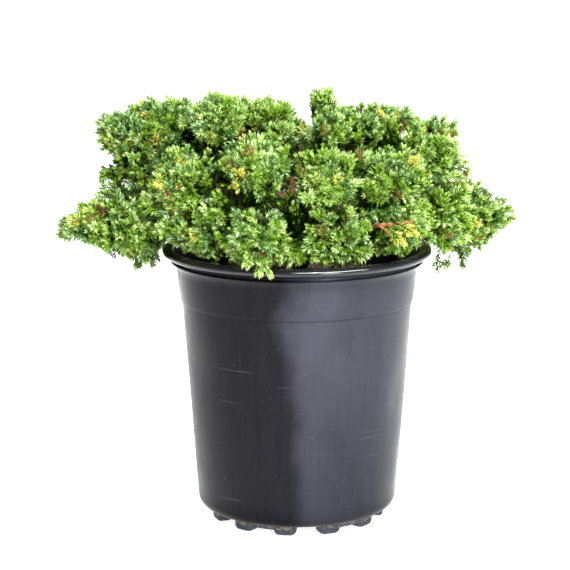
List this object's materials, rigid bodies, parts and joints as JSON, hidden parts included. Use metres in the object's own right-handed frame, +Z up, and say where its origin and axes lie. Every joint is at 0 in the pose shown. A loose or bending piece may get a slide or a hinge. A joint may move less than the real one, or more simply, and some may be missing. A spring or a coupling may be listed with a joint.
{
  "type": "potted juniper",
  "caption": "Low, mounded garden juniper with short prickly needles, growing in a filled round nursery pot with a rolled rim and a footed base.",
  "frame": {"origin": "on the ground, under the middle of the whole plant's bounding box and within 3 mm of the pot's axis", "axes": "+Z up along the pot's axis, +X to the plant's right along its widest spread, -Y its front, where one mass of foliage hangs over the rim"},
  "size_m": [0.3924, 0.2419, 0.3751],
  "materials": {
    "pot": "black moulded polyethylene, dusty, with a soft sheen",
    "soil": "damp bark-based potting mix, uneven",
    "bark": "thin flaking red-brown bark",
    "needles": "short stiff needles, fresh green at the tips and bluish within"
  },
  "bodies": {
    "root": {"pot": "pot", "soil": "soil", "stem": "bark", "bough_left_shoulder": "bark", "foliage_left_shoulder": "needles", "bough_left_crest": "bark", "foliage_left_crest": "needles", "bough_left_spire": "bark", "foliage_left_spire": "needles", "bough_top_dome": "bark", "foliage_top_dome": "needles", "bough_right_spire": "bark", "foliage_right_spire": "needles", "bough_right_crest": "bark", "foliage_right_crest": "needles", "bough_right_shoulder": "bark", "foliage_right_shoulder": "needles", "bough_left_front": "bark", "foliage_left_front": "needles", "bough_middle_left": "bark", "foliage_middle_left": "needles", "bough_middle_right": "bark", "foliage_middle_right": "needles", "bough_right_front": "bark", "foliage_right_front": "needles", "bough_left_tip": "bark", "foliage_left_tip": "needles", "bough_left_skirt": "bark", "foliage_left_skirt": "needles", "bough_right_skirt": "bark", "foliage_right_skirt": "needles", "bough_right_tip": "bark", "foliage_right_tip": "needles", "bough_rim_left": "bark", "foliage_rim_left": "needles", "bough_rim_hanging": "bark", "foliage_rim_hanging": "needles", "bough_rim_middle": "bark", "foliage_rim_middle": "needles", "bough_rim_right": "bark", "foliage_rim_right": "needles", "bough_back_left_crest": "bark", "foliage_back_left_crest": "needles", "bough_back_top": "bark", "foliage_back_top": "needles", "bough_back_right_crest": "bark", "foliage_back_right_crest": "needles", "bough_back_left_skirt": "bark", "foliage_back_left_skirt": "needles", "bough_rim_back_left": "bark", "foliage_rim_back_left": "needles", "bough_rim_back_right": "bark", "foliage_rim_back_right": "needles", "bough_back_right_skirt": "bark", "foliage_back_right_skirt": "needles", "bough_front_low_left": "bark", "bough_front_low_middle": "bark", "foliage_front_low_left": "needles", "foliage_front_low_middle": "needles"}
  },
  "joints": []
}
